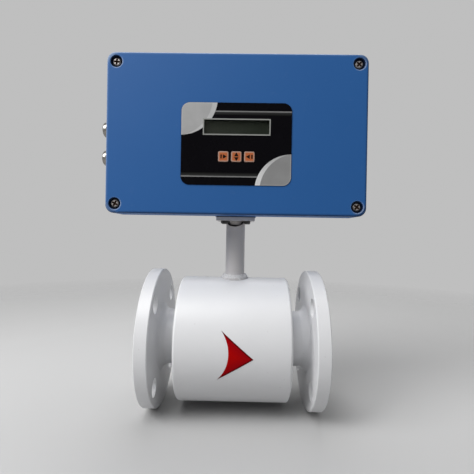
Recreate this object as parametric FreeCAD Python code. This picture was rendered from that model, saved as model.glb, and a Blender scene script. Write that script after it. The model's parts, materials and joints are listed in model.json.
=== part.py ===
"""Electromagnetic flow meter for a 2 inch (DN 50) line, with its display head on a neck pipe.

The origin is on the flow axis, midway between the two sealing faces.
+X is the flow direction, +Y points away from the display side and +Z is up.  Millimetres.
"""
import FreeCAD
import Part
import math
import os

Vector = FreeCAD.Vector

# Flow tube
FACE_TO_FACE = 200.0
PIPE_RADIUS = 30.15
PIPE_WALL = 2.8
BORE_RADIUS = 24.25
LINER_FLARE_RADIUS = 44.0
LINER_FLARE = 4.0
MOUTH_CHAMFER = 1.5
FLARE_CHAMFER = 1.0

# Flanges, 2 inch class 150 pattern
FLANGE_RADIUS = 76.0
FLANGE_THICKNESS = 13.3
RAISED_FACE_RADIUS = 46.05
RAISED_FACE = 2.5
FLANGE_EDGE = 0.8
FLANGE_WELD = 7.5
BOLT_CIRCLE = 120.65
BOLT_HOLE_RADIUS = 9.525

# Coil housing
HOUSING_RADIUS = 67.5
HOUSING_LENGTH = 117.0
HOUSING_WALL = 3.0
END_PLATE = 4.0
END_ROUND = 2.5
END_WELD = 3.0

# Magnet coils and electrodes
SHOE_THICKNESS = 4.0
SHOE_HALF_LENGTH = 26.0
SHOE_LOWEST = 18.0
CORE_RADIUS = 8.0
COIL_RADIUS = 24.0
COIL_BOTTOM = 36.0
COIL_TOP = 50.0
YOKE_INNER = 57.0
YOKE_OUTER = 60.0
YOKE_HALF_LENGTH = 20.0
ELECTRODE_HEAD_RADIUS = 4.0
ELECTRODE_STEM_RADIUS = 2.5
ELECTRODE_END = 42.0
BUSH_RADIUS = 4.4
BUSH_COLLAR_RADIUS = 6.5
BUSH_TOP = 35.0

# Neck
NECK_RADIUS = 10.65
NECK_WALL = 2.11
NECK_FOOT = 62.0
NECK_WELD_OUT = 4.7
NECK_WELD_UP = 5.7
NECK_NOTCH_RADIUS = 15.0
NECK_NOTCH_DEPTH = 6.3
NECK_NOTCH_X = -1.0
HUB_RADIUS = 6.8
HUB_BORE = 4.8
HUB_LENGTH = 4.2
PLATE_HALF = 21.0
PLATE_PAD = 1.5
PLATE_THICKNESS = 3.6
NECK_GASKET = 0.9
NECK_BOLT_OFFSET = 12.2
NECK_HOLE_RADIUS = 9.0

# Enclosure of the display head: a die-cast base with a screwed cover
BOX_HALF_WIDTH = 130.4
BOX_BOTTOM = 136.0
BOX_HEIGHT = 160.8
BOX_FRONT = -52.0
BOX_PARTING = -25.0
BOX_BACK = 38.0
BOX_WALL = 3.2
COVER_WALL = 3.0
BOX_CORNER = 8.5
COVER_EDGE_ROUND = 1.6
BASE_EDGE_ROUND = 3.0
BASE_STEP = 0.6
BASE_DRAFT = 3.4
PARTING_CHAMFER = 0.5
RIM_DEPTH = 6.0
RIM_INSET = 7.6
RIM_CORNER_SUM = 31.3
GROOVE_OUTER = 4.3
GROOVE_INNER = 6.7
GROOVE_DEPTH = 2.2
SCREW_X = 121.0
SCREW_HEIGHTS = (9.5, 151.5)
SCREW_POST_RADIUS = 7.0
COUNTERBORE_RADIUS = 5.7
COUNTERBORE_DEPTH = 4.0
SCREW_HEAD_RADIUS = 4.0
CROSS_LENGTH = 5.2
CROSS_WIDTH = 1.2
CROSS_DEPTH = 1.5
CROSS_TURNS = (28.0, 6.0, 38.0, 44.0)

# Front overlay, display and keys; heights are above the bottom of the enclosure
OVERLAY_WIDTH = 110.0
OVERLAY_HEIGHT = 82.0
OVERLAY_CORNER = 8.5
OVERLAY_THICKNESS = 0.5
OVERLAY_MIDDLE = 70.2
WINDOW_X = 0.25
WINDOW_Z = 87.15
WINDOW_WIDTH = 64.9
WINDOW_HEIGHT = 14.1
PANE_WIDTH = 67.6
PANE_HEIGHT = 16.6
PANE_THICKNESS = 1.5
KEY_SIZE = 10.3
KEY_ROUND = 1.5
KEY_PITCH = 12.95
KEY_MIDDLE_X = 0.35
KEY_Z = 57.6
KEY_CLEARANCE = 0.35
KEY_PROUD = 0.4
KEY_COLLAR = 12.6

# Boards
BOARD_THICKNESS = 1.6
DISPLAY_BOARD_FRONT = -40.0
DISPLAY_BOARD_WIDTH = 106.0
DISPLAY_BOARD_HEIGHT = 78.0
DISPLAY_BOARD_MIDDLE = 75.0
DISPLAY_POST_X = 47.5
DISPLAY_POST_HEIGHTS = (41.0, 109.0)
LCD_FACE = -48.8
MAIN_BOARD_FRONT = 23.4
MAIN_BOARD_WIDTH = 180.0
MAIN_BOARD_HEIGHT = 105.0
MAIN_BOARD_MIDDLE = 80.0
MAIN_POST_X = 82.0
MAIN_POST_HEIGHTS = (35.0, 125.0)

# Cable glands, M16, on the inlet side of the base
GLAND_HEIGHTS = {"lower": 66.0, "upper": 98.5}
GLAND_Y = 6.0
GLAND_FLATS = 19.0
GLAND_THREAD_RADIUS = 8.0
GLAND_BORE = 5.2
GLAND_SEAL_BORE = 4.0
GLAND_LENGTH = 26.0
GLAND_SEAT = 127.9
GLAND_SPOT_RADIUS = 11.6

# Fits
SCREW_FIT = 0.03
SEAT_FIT = 0.05

X = Vector(1, 0, 0)
Y = Vector(0, 1, 0)
Z = Vector(0, 0, 1)
ORIGIN = Vector(0, 0, 0)

# Places that follow from the driving dimensions
FLANGE_FACE = FACE_TO_FACE / 2 - LINER_FLARE
FLANGE_FRONT = FLANGE_FACE - RAISED_FACE
FLANGE_BACK = FLANGE_FRONT - FLANGE_THICKNESS
HOUSING_END = HOUSING_LENGTH / 2
SHELL_END = HOUSING_END - END_PLATE
PLATE_TOP = BOX_BOTTOM - NECK_GASKET
PLATE_BOTTOM = PLATE_TOP - PLATE_THICKNESS
NECK_NUT_SEAT = BOX_BOTTOM + BOX_WALL + BASE_DRAFT
COVER_INSIDE = BOX_FRONT + COVER_WALL
OVERLAY_FRONT = BOX_FRONT - OVERLAY_THICKNESS
LCD_BOARD_FRONT = LCD_FACE + 4.5
RIM_BACK = BOX_PARTING + RIM_DEPTH


# ---------------------------------------------------------------- shapes used more than once

def cylinder(radius, start, end, centre=ORIGIN, axis=X):
    """A cylinder on an axis through centre, between two distances along that axis."""
    return Part.makeCylinder(radius, end - start, centre + axis * start, axis)


def tube(outer, inner, start, end, centre=ORIGIN, axis=X):
    """A plain tube on an axis through centre."""
    outside = cylinder(outer, start, end, centre, axis)
    return outside.cut(cylinder(inner, start - 1, end + 1, centre, axis))


def spun(outline, centre, axis):
    """The solid that a closed outline sweeps in one turn about an axis."""
    solid = Part.Face(outline).revolve(centre, axis, 360)
    if solid.Volume < 0:
        solid.reverse()
    return solid


def side_of(axis):
    """The direction in which a turned profile's radius is drawn."""
    return X if axis == Z else Z


def turned(profile, axis=X, centre=ORIGIN):
    """A turned piece; the profile's points are (distance along the axis, radius)."""
    side = side_of(axis)
    corners = [centre + axis * along + side * radius for along, radius in profile]
    return spun(Part.makePolygon(corners + corners[:1]), centre, axis)


def weld_ring(radius, seat, out, along, axis=X):
    """A hollow fillet round a pipe, in the corner that it makes with a face at seat.

    It stands out from the pipe by out, and runs along it by along, which is signed.
    """
    hollow = 0.36
    side = side_of(axis)
    corner = axis * seat + side * radius
    on_face = corner + side * out
    on_pipe = corner + axis * along
    middle = corner + side * (out * hollow) + axis * (along * hollow)
    edges = [
        Part.LineSegment(on_face, corner).toShape(),
        Part.LineSegment(corner, on_pipe).toShape(),
        Part.Arc(on_pipe, middle, on_face).toShape(),
    ]
    return spun(Part.Wire(edges), ORIGIN, axis)


def block(low, high):
    """A plain box between two corners."""
    size = high - low
    return Part.makeBox(size.x, size.y, size.z, low)


def edges_along(solid, axis):
    """The straight edges that run along an axis."""
    found = []
    for edge in solid.Edges:
        if isinstance(edge.Curve, Part.Line) and abs(edge.Curve.Direction.dot(axis)) > 0.999:
            found.append(edge)
    return found


def edges_at_depth(solid, depth):
    """The edges that lie in the plane y = depth."""
    found = []
    for edge in solid.Edges:
        bounds = edge.BoundBox
        if abs(bounds.YMin - depth) < 0.01 and abs(bounds.YMax - depth) < 0.01:
            found.append(edge)
    return found


def panel(width, height, corner, front, back, x=0.0, z=0.0):
    """A plate that faces the front, with round corners; z is above the enclosure's bottom."""
    middle = Vector(x, 0, BOX_BOTTOM + z)
    low = middle + Vector(-width / 2, front, -height / 2)
    high = middle + Vector(width / 2, back, height / 2)
    plate = block(low, high)
    return plate.makeFillet(corner, edges_along(plate, Y))


def enclosure_slab(inset, corner, front, back):
    """The enclosure's outline, drawn in by inset, between two depths."""
    width = 2 * (BOX_HALF_WIDTH - inset)
    height = BOX_HEIGHT - 2 * inset
    return panel(width, height, corner, front, back, 0.0, BOX_HEIGHT / 2)


def spots(half_width, heights):
    """The points at two heights above the enclosure's bottom, on both sides of the middle."""
    return [
        Vector(side * half_width, 0, BOX_BOTTOM + height)
        for side in (-1, 1)
        for height in heights
    ]


def hexagon(flats, start, end, centre, axis):
    """A hexagonal prism on an axis through centre."""
    across = flats / math.cos(math.pi / 6) / 2
    side = side_of(axis)
    other = axis.cross(side)
    corners = []
    for step in range(6):
        angle = step * math.pi / 3
        ray = side * math.cos(angle) + other * math.sin(angle)
        corners.append(centre + axis * start + ray * across)
    outline = Part.makePolygon(corners + corners[:1])
    return Part.Face(outline).extrude(axis * (end - start))


def half_turn(solid):
    """The same piece at the other end, or on the other side, of the upright axis."""
    return solid.rotated(ORIGIN, Z, 180)


def turned_under(solid):
    """The same piece below the flow axis."""
    return solid.rotated(ORIGIN, X, 180)


# ---------------------------------------------------------------- flow tube

def measuring_pipe():
    """The steel pipe that the flanges are welded to, with a hole for each electrode."""
    pipe = tube(PIPE_RADIUS, PIPE_RADIUS - PIPE_WALL, -FLANGE_FACE, FLANGE_FACE)
    return pipe.cut(cylinder(BUSH_RADIUS + SEAT_FIT, -40, 40, ORIGIN, Y))


def liner():
    """The lining of the bore, flared out over both raised faces."""
    outside = PIPE_RADIUS - PIPE_WALL - SEAT_FIT
    end = FACE_TO_FACE / 2
    outlet_half = [
        (FLANGE_FACE, outside),
        (FLANGE_FACE, LINER_FLARE_RADIUS),
        (end - FLARE_CHAMFER, LINER_FLARE_RADIUS),
        (end, LINER_FLARE_RADIUS - FLARE_CHAMFER),
        (end, BORE_RADIUS + MOUTH_CHAMFER),
        (end - MOUTH_CHAMFER, BORE_RADIUS),
    ]
    inlet_half = [(-along, radius) for along, radius in reversed(outlet_half)]
    body = turned(outlet_half + inlet_half)
    return body.cut(cylinder(ELECTRODE_HEAD_RADIUS + SEAT_FIT, -40, 40, ORIGIN, Y))


def flange():
    """The outlet flange: a slip-on plate with its edges broken, a raised face and bolt holes."""
    bore = PIPE_RADIUS + SEAT_FIT
    plate = turned([
        (FLANGE_BACK, bore),
        (FLANGE_BACK, FLANGE_RADIUS - FLANGE_EDGE),
        (FLANGE_BACK + FLANGE_EDGE, FLANGE_RADIUS),
        (FLANGE_FRONT - FLANGE_EDGE, FLANGE_RADIUS),
        (FLANGE_FRONT, FLANGE_RADIUS - FLANGE_EDGE),
        (FLANGE_FRONT, RAISED_FACE_RADIUS),
        (FLANGE_FACE, RAISED_FACE_RADIUS),
        (FLANGE_FACE, bore),
    ])
    for quarter in range(4):
        angle = math.radians(45 + 90 * quarter)
        centre = (Y * math.cos(angle) + Z * math.sin(angle)) * (BOLT_CIRCLE / 2)
        plate = plate.cut(cylinder(BOLT_HOLE_RADIUS, FLANGE_BACK - 1, FLANGE_FRONT + 1, centre))
    return plate


def flange_weld():
    """The hollow weld fillet between the pipe and the back of the outlet flange."""
    return weld_ring(PIPE_RADIUS, FLANGE_BACK, FLANGE_WELD, -FLANGE_WELD)


def end_plate_weld():
    """The smaller weld fillet between the pipe and the outlet end plate."""
    return weld_ring(PIPE_RADIUS, HOUSING_END, END_WELD, END_WELD)


# ---------------------------------------------------------------- coil housing and its contents

def coil_housing():
    """The rolled shell round the coils, with the hole that the neck stands in."""
    shell = tube(HOUSING_RADIUS, HOUSING_RADIUS - HOUSING_WALL, -SHELL_END, SHELL_END)
    return shell.cut(cylinder(NECK_RADIUS + SEAT_FIT, 0, 2 * HOUSING_RADIUS, ORIGIN, Z))


def end_plate():
    """The outlet end plate of the housing, whose edge is dressed round after welding."""
    bore = PIPE_RADIUS + SEAT_FIT
    inner_foot = X * SHELL_END + Z * bore
    inner_rim = X * SHELL_END + Z * HOUSING_RADIUS
    round_start = X * (HOUSING_END - END_ROUND) + Z * HOUSING_RADIUS
    round_end = X * HOUSING_END + Z * (HOUSING_RADIUS - END_ROUND)
    outer_foot = X * HOUSING_END + Z * bore
    corner = X * HOUSING_END + Z * HOUSING_RADIUS
    round_middle = corner - (X + Z) * (END_ROUND * (1 - math.sqrt(0.5)))
    outline = Part.Wire([
        Part.LineSegment(inner_foot, inner_rim).toShape(),
        Part.LineSegment(inner_rim, round_start).toShape(),
        Part.Arc(round_start, round_middle, round_end).toShape(),
        Part.LineSegment(round_end, outer_foot).toShape(),
        Part.LineSegment(outer_foot, inner_foot).toShape(),
    ])
    return spun(outline, ORIGIN, X)


def pole_core():
    """The upper pole: a saddle on the pipe and the round core that carries the coil."""
    inside = PIPE_RADIUS + SEAT_FIT
    saddle = tube(inside + SHOE_THICKNESS, inside, -SHOE_HALF_LENGTH, SHOE_HALF_LENGTH)
    keep = block(Vector(-SHOE_HALF_LENGTH, -50, SHOE_LOWEST), Vector(SHOE_HALF_LENGTH, 50, 50))
    core = cylinder(CORE_RADIUS, 0, YOKE_OUTER, ORIGIN, Z)
    core = core.common(tube(YOKE_INNER - SEAT_FIT, inside, -CORE_RADIUS - 1, CORE_RADIUS + 1))
    return saddle.common(keep).fuse(core).removeSplitter()


def coil():
    """The upper magnet coil, wound round its core."""
    return tube(COIL_RADIUS, CORE_RADIUS + 0.3, COIL_BOTTOM, COIL_TOP, ORIGIN, Z)


def return_yoke():
    """The iron band that carries the field back round the outside of the coils."""
    return tube(YOKE_OUTER, YOKE_INNER, -YOKE_HALF_LENGTH, YOKE_HALF_LENGTH)


def electrode():
    """The rear electrode: its head is flush with the bore, and its stem comes out of the pipe."""
    seat = PIPE_RADIUS - PIPE_WALL - SEAT_FIT
    head = cylinder(ELECTRODE_HEAD_RADIUS, 0, seat, ORIGIN, Y)
    stem = cylinder(ELECTRODE_STEM_RADIUS, seat, ELECTRODE_END, ORIGIN, Y)
    body = head.fuse(stem).cut(cylinder(BORE_RADIUS, -20, 20))
    return body.removeSplitter()


def electrode_bush():
    """The rear electrode's insulating bush, with a collar that saddles the pipe."""
    seat = PIPE_RADIUS - PIPE_WALL
    sleeve = cylinder(BUSH_RADIUS, seat, BUSH_TOP, ORIGIN, Y)
    collar = cylinder(BUSH_COLLAR_RADIUS, 20, BUSH_TOP, ORIGIN, Y)
    collar = collar.cut(cylinder(PIPE_RADIUS + SEAT_FIT, -20, 20))
    stem_hole = cylinder(ELECTRODE_STEM_RADIUS + SEAT_FIT, 0, 50, ORIGIN, Y)
    return sleeve.fuse(collar).cut(stem_hole).removeSplitter()


def electrode_nut():
    """The nut that draws the rear electrode's head into the lining."""
    nut = hexagon(8.0, BUSH_TOP, BUSH_TOP + 3.2, ORIGIN, Y)
    return nut.cut(cylinder(ELECTRODE_STEM_RADIUS + SCREW_FIT, 0, 60, ORIGIN, Y))


def flow_arrow():
    """The thin arrow on the front of the housing, which points along the flow."""
    thickness = 0.15
    point = Vector(20.3, 0, -3.2)
    upper = Vector(-11.1, 0, 23.2)
    lower = Vector(-14.5, 0, -24.4)
    hollow = Vector(-3.9, 0, 1.5)
    outline = Part.Wire([
        Part.LineSegment(lower, point).toShape(),
        Part.LineSegment(point, upper).toShape(),
        Part.Arc(upper, hollow, lower).toShape(),
    ])
    shadow = Part.Face(outline).extrude(Y * -2 * HOUSING_RADIUS)
    return shadow.common(tube(HOUSING_RADIUS + thickness, HOUSING_RADIUS, -SHELL_END, SHELL_END))


# ---------------------------------------------------------------- neck

def neck_corners():
    """The four bolt places of the neck plate."""
    return [
        Vector(across * NECK_BOLT_OFFSET, deep * NECK_BOLT_OFFSET, 0)
        for across in (-1, 1)
        for deep in (-1, 1)
    ]


def neck_pipe():
    """The neck pipe: a weld saddles the housing at its foot, and its top end is notched in front."""
    pipe = tube(NECK_RADIUS, NECK_RADIUS - NECK_WALL, NECK_FOOT, PLATE_BOTTOM, ORIGIN, Z)
    notch = Vector(NECK_NOTCH_X, 0, PLATE_BOTTOM - NECK_NOTCH_DEPTH + NECK_NOTCH_RADIUS)
    pipe = pipe.cut(cylinder(NECK_NOTCH_RADIUS, -NECK_RADIUS - 1, 0, notch, Y))
    foot = weld_ring(NECK_RADIUS, HOUSING_RADIUS, NECK_WELD_OUT, NECK_WELD_UP, Z)
    skirt = tube(NECK_RADIUS + NECK_WELD_OUT, NECK_RADIUS, NECK_FOOT, HOUSING_RADIUS, ORIGIN, Z)
    saddle = foot.fuse(skirt).cut(cylinder(HOUSING_RADIUS, -SHELL_END, SHELL_END))
    return pipe.fuse(saddle).removeSplitter()


def neck_plate():
    """The square plate under the enclosure, with a short hub that hangs into the pipe."""
    plate = neck_sheet(PLATE_BOTTOM, PLATE_TOP, HUB_BORE)
    hub = tube(HUB_RADIUS, HUB_BORE, PLATE_BOTTOM - HUB_LENGTH, PLATE_BOTTOM, ORIGIN, Z)
    return plate.fuse(hub).removeSplitter()


def neck_sheet(bottom, top, hole):
    """A square sheet on the neck, with a middle hole and its four bolt holes."""
    sheet = block(Vector(-PLATE_HALF, -PLATE_HALF, bottom), Vector(PLATE_HALF, PLATE_HALF, top))
    sheet = sheet.makeFillet(3.0, edges_along(sheet, Z))
    sheet = sheet.cut(cylinder(hole, bottom - 1, top + 1, ORIGIN, Z))
    for corner in neck_corners():
        sheet = sheet.cut(cylinder(2.2, bottom - 1, top + 1, corner, Z))
    return sheet


def neck_bolt(corner):
    """A hexagon bolt that comes up through the plate into the enclosure."""
    head = hexagon(7.0, PLATE_BOTTOM - 3.0, PLATE_BOTTOM, corner, Z)
    shank = cylinder(2.0, PLATE_BOTTOM, NECK_NUT_SEAT + 5.0, corner, Z)
    return head.fuse(shank)


def neck_nut(corner):
    """The nut on a neck bolt, inside the enclosure."""
    seat = NECK_NUT_SEAT
    nut = hexagon(7.0, seat, seat + 3.2, corner, Z)
    return nut.cut(cylinder(2.0 + SCREW_FIT, seat - 1, seat + 9, corner, Z))


# ---------------------------------------------------------------- enclosure

def rim_slab(inset, front, back):
    """An outline parallel to the rim's inner edge, which passes inside the corner screws."""
    return enclosure_slab(inset, RIM_CORNER_SUM - inset, front, back)


def outline_at(inset, corner, depth):
    """The enclosure's outline in one plane, drawn in by inset."""
    slab = enclosure_slab(inset, corner, depth, depth + 1.0)
    face = min(slab.Faces, key=lambda face: face.BoundBox.YMax)
    return face.OuterWire


def drafted_slab(inset, back):
    """The tapered body behind the base's rim, drawn in by inset; the draft lets the casting go."""
    front_inset = inset + BASE_STEP
    back_inset = inset + BASE_DRAFT
    front_outline = outline_at(front_inset, BOX_CORNER - front_inset, RIM_BACK)
    back_outline = outline_at(back_inset, BOX_CORNER - back_inset, back)
    return Part.makeLoft([front_outline, back_outline], True, True)


def base_cavity():
    """The space inside the base, less its posts and the flat pads under the glands and nuts."""
    floor = BOX_BACK - BOX_WALL
    hollow = drafted_slab(BOX_WALL, floor)
    for spot in spots(SCREW_X, SCREW_HEIGHTS):
        hollow = hollow.cut(cylinder(SCREW_POST_RADIUS, RIM_BACK, floor, spot, Y))
    for spot in spots(MAIN_POST_X, MAIN_POST_HEIGHTS):
        post_top = MAIN_BOARD_FRONT + BOARD_THICKNESS
        hollow = hollow.cut(cylinder(4.0, post_top, floor, spot, Y))
    for name in GLAND_HEIGHTS:
        pad = cylinder(GLAND_SPOT_RADIUS + 1.0, 0.0, BOX_WALL, gland_centre(name), X)
        hollow = hollow.cut(pad)
    pad_low = Vector(-PLATE_HALF, RIM_BACK, BOX_BOTTOM)
    pad_high = Vector(PLATE_HALF, PLATE_HALF, NECK_NUT_SEAT)
    return hollow.cut(block(pad_low, pad_high))


def enclosure_base():
    """The base: an open box with draft, a grooved rim, posts, a pad for the neck and its entries."""
    body = drafted_slab(0.0, BOX_BACK)
    body = body.makeFillet(BASE_EDGE_ROUND, edges_at_depth(body, BOX_BACK))
    rim = enclosure_slab(0.0, BOX_CORNER, BOX_PARTING, RIM_BACK)
    rim = rim.makeChamfer(PARTING_CHAMFER, edges_at_depth(rim, BOX_PARTING))
    half = PLATE_HALF + PLATE_PAD
    pad_high = Vector(half, half, BOX_BOTTOM + BASE_DRAFT)
    pad = block(Vector(-half, RIM_BACK - 1, BOX_BOTTOM), pad_high)
    body = body.fuse([rim, pad]).cut(base_cavity())
    body = body.cut(rim_slab(RIM_INSET, BOX_PARTING - 1, RIM_BACK + 1))
    groove = rim_slab(GROOVE_OUTER, BOX_PARTING - 1, BOX_PARTING + GROOVE_DEPTH)
    groove = groove.cut(rim_slab(GROOVE_INNER, BOX_PARTING - 2, BOX_PARTING + GROOVE_DEPTH + 1))
    body = body.cut(groove)
    for spot in spots(SCREW_X, SCREW_HEIGHTS):
        body = body.cut(cylinder(2.0 + SCREW_FIT, BOX_PARTING - 1, BOX_PARTING + 16, spot, Y))
    for spot in spots(MAIN_POST_X, MAIN_POST_HEIGHTS):
        depth = BOX_BACK - BOX_WALL - 1
        body = body.cut(cylinder(1.5 + SCREW_FIT, MAIN_BOARD_FRONT, depth, spot, Y))
    return cut_entries(body).removeSplitter()


def cut_entries(body):
    """Cut the neck's wire hole and bolt holes, and the two spot-faced gland holes."""
    top = NECK_NUT_SEAT + 1
    body = body.cut(cylinder(NECK_HOLE_RADIUS, BOX_BOTTOM - 1, top, ORIGIN, Z))
    for corner in neck_corners():
        body = body.cut(cylinder(2.2, BOX_BOTTOM - 1, top, corner, Z))
    for name in GLAND_HEIGHTS:
        centre = gland_centre(name)
        body = body.cut(cylinder(GLAND_SPOT_RADIUS, -4, 0, centre, X))
        body = body.cut(cylinder(GLAND_THREAD_RADIUS + SEAT_FIT, -1, BOX_WALL + 1, centre, X))
    return body


def key_places():
    """The three keys' names and the x of their middles."""
    names = ("left_key", "middle_key", "right_key")
    return [(name, KEY_MIDDLE_X + (i - 1) * KEY_PITCH) for i, name in enumerate(names)]


def key_holes(front, back):
    """The square holes that the keys move in, between two depths."""
    size = KEY_SIZE + 2 * KEY_CLEARANCE
    holes = [panel(size, size, KEY_ROUND, front, back, x, KEY_Z) for _, x in key_places()]
    return Part.makeCompound(holes)


def enclosure_cover():
    """The cover: a shallow tray with countersunk corners, a window, key holes and posts."""
    body = enclosure_slab(0.0, BOX_CORNER, BOX_FRONT, BOX_PARTING)
    body = body.makeFillet(COVER_EDGE_ROUND, edges_at_depth(body, BOX_FRONT))
    body = body.makeChamfer(PARTING_CHAMFER, edges_at_depth(body, BOX_PARTING))
    rim_front = BOX_PARTING - RIM_DEPTH
    hollow = enclosure_slab(BOX_WALL, BOX_CORNER - BOX_WALL, COVER_INSIDE, rim_front)
    for spot in spots(SCREW_X, SCREW_HEIGHTS):
        hollow = hollow.cut(cylinder(SCREW_POST_RADIUS, COVER_INSIDE, rim_front, spot, Y))
    for spot in spots(DISPLAY_POST_X, DISPLAY_POST_HEIGHTS):
        hollow = hollow.cut(cylinder(3.5, COVER_INSIDE, DISPLAY_BOARD_FRONT, spot, Y))
    body = body.cut(hollow)
    body = body.cut(rim_slab(RIM_INSET, rim_front - 1, BOX_PARTING + 1))
    for spot in spots(SCREW_X, SCREW_HEIGHTS):
        seat = BOX_FRONT + COUNTERBORE_DEPTH
        body = body.cut(counterbore(spot, seat))
        body = body.cut(cylinder(2.2, seat - 1, BOX_PARTING + 1, spot, Y))
    for spot in spots(DISPLAY_POST_X, DISPLAY_POST_HEIGHTS):
        body = body.cut(cylinder(1.5 + SCREW_FIT, COVER_INSIDE, DISPLAY_BOARD_FRONT + 1, spot, Y))
    pane_seat = BOX_FRONT + PANE_THICKNESS
    recess = panel(PANE_WIDTH + 0.2, PANE_HEIGHT + 0.2, 1.0, BOX_FRONT - 1, pane_seat, WINDOW_X, WINDOW_Z)
    opening = window_hole(BOX_FRONT - 1, COVER_INSIDE + 1)
    return body.cut([recess, opening, key_holes(BOX_FRONT - 1, COVER_INSIDE + 1)])


def counterbore(spot, seat):
    """The sunk seat of a cover screw, with a chamfered edge."""
    front = Y * BOX_FRONT
    lead_in = 0.6
    lead = Part.makeCone(COUNTERBORE_RADIUS + lead_in, COUNTERBORE_RADIUS, lead_in, spot + front, Y)
    return lead.fuse(cylinder(COUNTERBORE_RADIUS, BOX_FRONT - 1, seat, spot, Y))


def window_hole(front, back):
    """The clear opening in front of the display, between two depths."""
    return panel(WINDOW_WIDTH, WINDOW_HEIGHT, 0.6, front, back, WINDOW_X, WINDOW_Z)


def cover_gasket():
    """The cord seal in the base's rim."""
    back = BOX_PARTING + GROOVE_DEPTH
    ring = rim_slab(GROOVE_OUTER + SEAT_FIT, BOX_PARTING, back)
    return ring.cut(rim_slab(GROOVE_INNER - SEAT_FIT, BOX_PARTING - 1, back + 1))


def cover_screw(spot, turn):
    """A pan-head screw with a cross recess, sunk in the cover's corner and turned by an angle."""
    seat = BOX_FRONT + COUNTERBORE_DEPTH
    top = seat - 2.6
    head = cylinder(SCREW_HEAD_RADIUS, top, seat, spot, Y)
    head = head.makeChamfer(0.9, edges_at_depth(head, top))
    shank = cylinder(2.0, seat, BOX_PARTING + 14, spot, Y)
    half = Vector(CROSS_LENGTH / 2, CROSS_DEPTH, CROSS_WIDTH / 2)
    middle = spot + Y * top
    for quarter in (0, 90):
        slot = block(middle - half, middle + half)
        head = head.cut(slot.rotated(middle, Y, turn + quarter))
    return head.fuse(shank)


def front_overlay():
    """The printed film on the cover, with its window and the holes for the keys."""
    sheet = panel(OVERLAY_WIDTH, OVERLAY_HEIGHT, OVERLAY_CORNER, OVERLAY_FRONT, BOX_FRONT,
                  0.0, OVERLAY_MIDDLE)
    front = OVERLAY_FRONT - 1
    return sheet.cut([window_hole(front, BOX_FRONT + 1), key_holes(front, BOX_FRONT + 1)])


def display_window():
    """The clear pane, let into the cover behind the film."""
    return panel(PANE_WIDTH, PANE_HEIGHT, 0.9, BOX_FRONT, BOX_FRONT + PANE_THICKNESS,
                 WINDOW_X, WINDOW_Z)


def key(x):
    """A key: its cap stands just proud of the film, with a collar and a stem behind."""
    cap_front = OVERLAY_FRONT - KEY_PROUD
    collar_front = COVER_INSIDE + 0.3
    collar_back = collar_front + 1.0
    cap = panel(KEY_SIZE, KEY_SIZE, KEY_ROUND, cap_front, collar_back, x, KEY_Z)
    cap = cap.makeChamfer(0.3, edges_at_depth(cap, cap_front))
    collar = panel(KEY_COLLAR, KEY_COLLAR, KEY_ROUND, collar_front, collar_back, x, KEY_Z)
    stem_centre = Vector(x, 0, BOX_BOTTOM + KEY_Z)
    stem = cylinder(2.0, collar_back, collar_back + 1.8, stem_centre, Y)
    return cap.fuse([collar, stem]).removeSplitter()


# ---------------------------------------------------------------- display and boards

def lcd_bezel():
    """The folded frame round the display glass."""
    skin = 0.6
    outside = panel(71.2, 25.2, 0.8, LCD_FACE, LCD_BOARD_FRONT, WINDOW_X, WINDOW_Z)
    hollow = panel(70.0, 24.0, 0.4, LCD_FACE + skin, LCD_BOARD_FRONT + 1, WINDOW_X, WINDOW_Z)
    opening = panel(65.2, 16.0, 0.4, LCD_FACE - 1, LCD_FACE + 1, WINDOW_X, WINDOW_Z)
    return outside.cut([hollow, opening])


def lcd_glass():
    """The display glass and its light box, behind the bezel."""
    return panel(69.8, 23.8, 0.3, LCD_FACE + 0.65, LCD_BOARD_FRONT, WINDOW_X, WINDOW_Z)


def lcd_corners():
    """The display board's four fixing places."""
    return [
        Vector(WINDOW_X + across * 37.5, 0, BOX_BOTTOM + WINDOW_Z + up * 15.5)
        for across in (-1, 1)
        for up in (-1, 1)
    ]


def lcd_board():
    """The display module's own circuit board."""
    back = LCD_BOARD_FRONT + BOARD_THICKNESS
    board = panel(80.0, 36.0, 1.0, LCD_BOARD_FRONT, back, WINDOW_X, WINDOW_Z)
    holes = [cylinder(1.3, LCD_BOARD_FRONT - 1, back + 1, spot, Y) for spot in lcd_corners()]
    return board.cut(holes)


def lcd_spacer(spot):
    """A spacer between the display module and the board behind it."""
    return cylinder(2.5, LCD_BOARD_FRONT + BOARD_THICKNESS, DISPLAY_BOARD_FRONT, spot, Y)


def display_board():
    """The board behind the cover that carries the display and the key switches."""
    back = DISPLAY_BOARD_FRONT + BOARD_THICKNESS
    board = panel(DISPLAY_BOARD_WIDTH, DISPLAY_BOARD_HEIGHT, 2.0, DISPLAY_BOARD_FRONT, back,
                  0.0, DISPLAY_BOARD_MIDDLE)
    holes = [
        cylinder(1.6, DISPLAY_BOARD_FRONT - 1, back + 1, spot, Y)
        for spot in spots(DISPLAY_POST_X, DISPLAY_POST_HEIGHTS)
    ]
    return board.cut(holes)


def key_switch(x):
    """The small push switch behind a key."""
    body = panel(6.0, 6.0, 0.5, DISPLAY_BOARD_FRONT - 3.5, DISPLAY_BOARD_FRONT, x, KEY_Z)
    centre = Vector(x, 0, BOX_BOTTOM + KEY_Z)
    return body.fuse(cylinder(1.7, DISPLAY_BOARD_FRONT - 4.8, DISPLAY_BOARD_FRONT - 3, centre, Y))


def board_screw(spot, head_back, length):
    """A small screw, put in from the open side, with its head in front of head_back."""
    head = cylinder(2.8, head_back - 2.2, head_back, spot, Y)
    return head.fuse(cylinder(1.5, head_back, head_back + length, spot, Y))


def display_screw(spot):
    """A screw that holds the display board to a post of the cover, put in from behind."""
    face = DISPLAY_BOARD_FRONT + BOARD_THICKNESS
    head = cylinder(2.8, face, face + 2.2, spot, Y)
    return head.fuse(cylinder(1.5, face - 7.5, face, spot, Y))


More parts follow.
